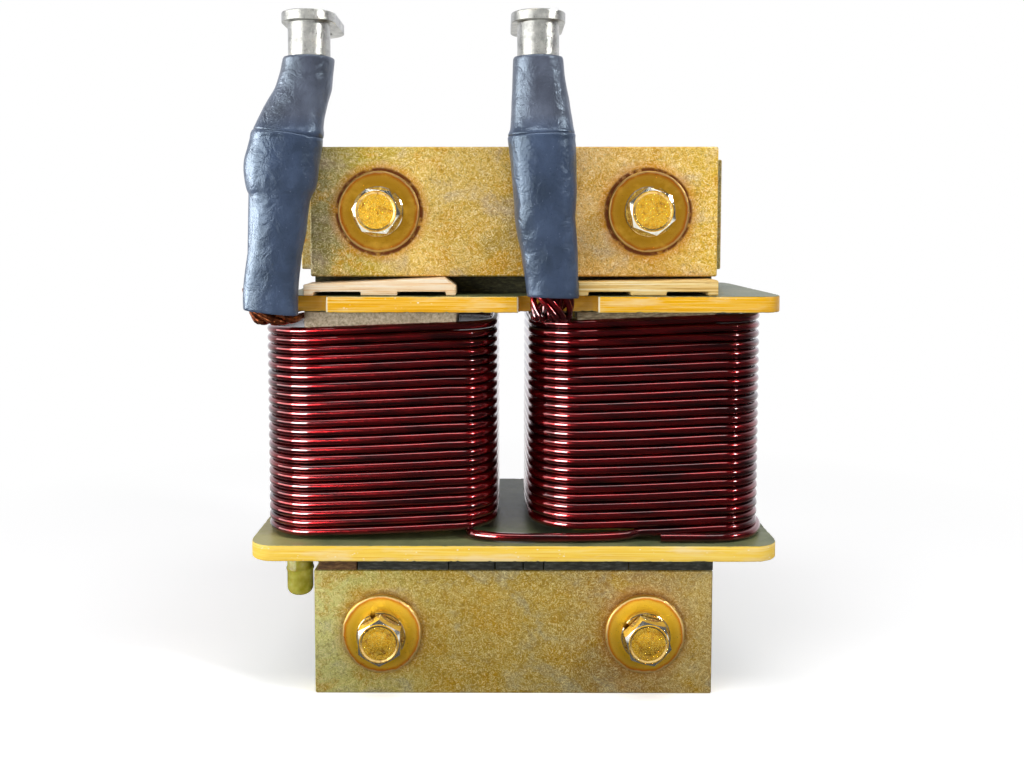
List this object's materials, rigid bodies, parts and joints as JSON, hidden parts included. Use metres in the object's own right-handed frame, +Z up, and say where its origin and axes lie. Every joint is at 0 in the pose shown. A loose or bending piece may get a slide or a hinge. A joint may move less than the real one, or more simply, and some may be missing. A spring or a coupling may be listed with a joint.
{
  "type": "line reactor",
  "caption": "Single-phase iron-core line reactor: two red enamelled coils on a gapped core between zinc-plated clamp bars, with sleeved lead-outs.",
  "frame": {"origin": "under the middle of the core, on the face that the core and lower bars stand on", "axes": "+Z up along the limbs, +X along the clamp bars to the right seen from the front, +Y to the rear, away from the lead-outs"},
  "size_m": [0.164, 0.0935, 0.211],
  "materials": {
    "core_steel": "satin",
    "zinc_bar": "satin",
    "zinc_fastener": "satin",
    "enamelled_wire": "gloss",
    "bare_copper": "satin",
    "glass_epoxy": "satin",
    "pressboard": "matte",
    "packing_wood": "matte",
    "dark_packing": "matte",
    "shrink_sleeve": "satin",
    "cable_jacket": "matte",
    "tinned_copper": "satin",
    "peg_resin": "gloss"
  },
  "bodies": {
    "root": {"lower_yoke": "core_steel", "upper_yoke": "core_steel", "left_limb_lower_block": "core_steel", "left_limb_upper_block": "core_steel", "right_limb_lower_block": "core_steel", "right_limb_upper_block": "core_steel", "lower_front_bar": "zinc_bar", "lower_rear_bar": "zinc_bar", "upper_front_bar": "zinc_bar", "upper_rear_bar": "zinc_bar", "clamp_bolts": "zinc_fastener", "large_washers": "zinc_fastener", "spring_washers": "zinc_fastener", "clamp_nuts": "zinc_fastener", "air_gap_spacers": "glass_epoxy", "lower_flange": "glass_epoxy", "upper_flange": "glass_epoxy", "left_coil_former": "glass_epoxy", "right_coil_former": "glass_epoxy", "lower_front_board": "pressboard", "lower_rear_board": "pressboard", "upper_front_board": "pressboard", "upper_rear_board": "pressboard", "left_filler_strip": "pressboard", "right_filler_strip": "pressboard", "locating_peg": "peg_resin", "left_inner_layers": "enamelled_wire", "right_inner_layers": "enamelled_wire", "left_winding": "enamelled_wire", "right_winding": "enamelled_wire", "coil_link": "enamelled_wire", "layer_return": "enamelled_wire", "right_lead_strands": "enamelled_wire", "left_lead_strands": "bare_copper", "front_left_wedge": "packing_wood", "front_right_wedge": "packing_wood", "rear_left_wedge": "packing_wood", "rear_right_wedge": "packing_wood", "front_packing": "dark_packing", "rear_packing": "dark_packing", "front_packing_end": "dark_packing", "left_lower_sleeve": "shrink_sleeve", "right_lower_sleeve": "shrink_sleeve", "left_upper_sleeve": "shrink_sleeve", "right_upper_sleeve": "shrink_sleeve", "left_lead_cable": "cable_jacket", "right_lead_cable": "cable_jacket", "bolt_tubes": "cable_jacket", "left_splice_crimp": "tinned_copper", "right_splice_crimp": "tinned_copper", "left_ring_lug": "tinned_copper", "right_ring_lug": "tinned_copper"}
  },
  "joints": []
}
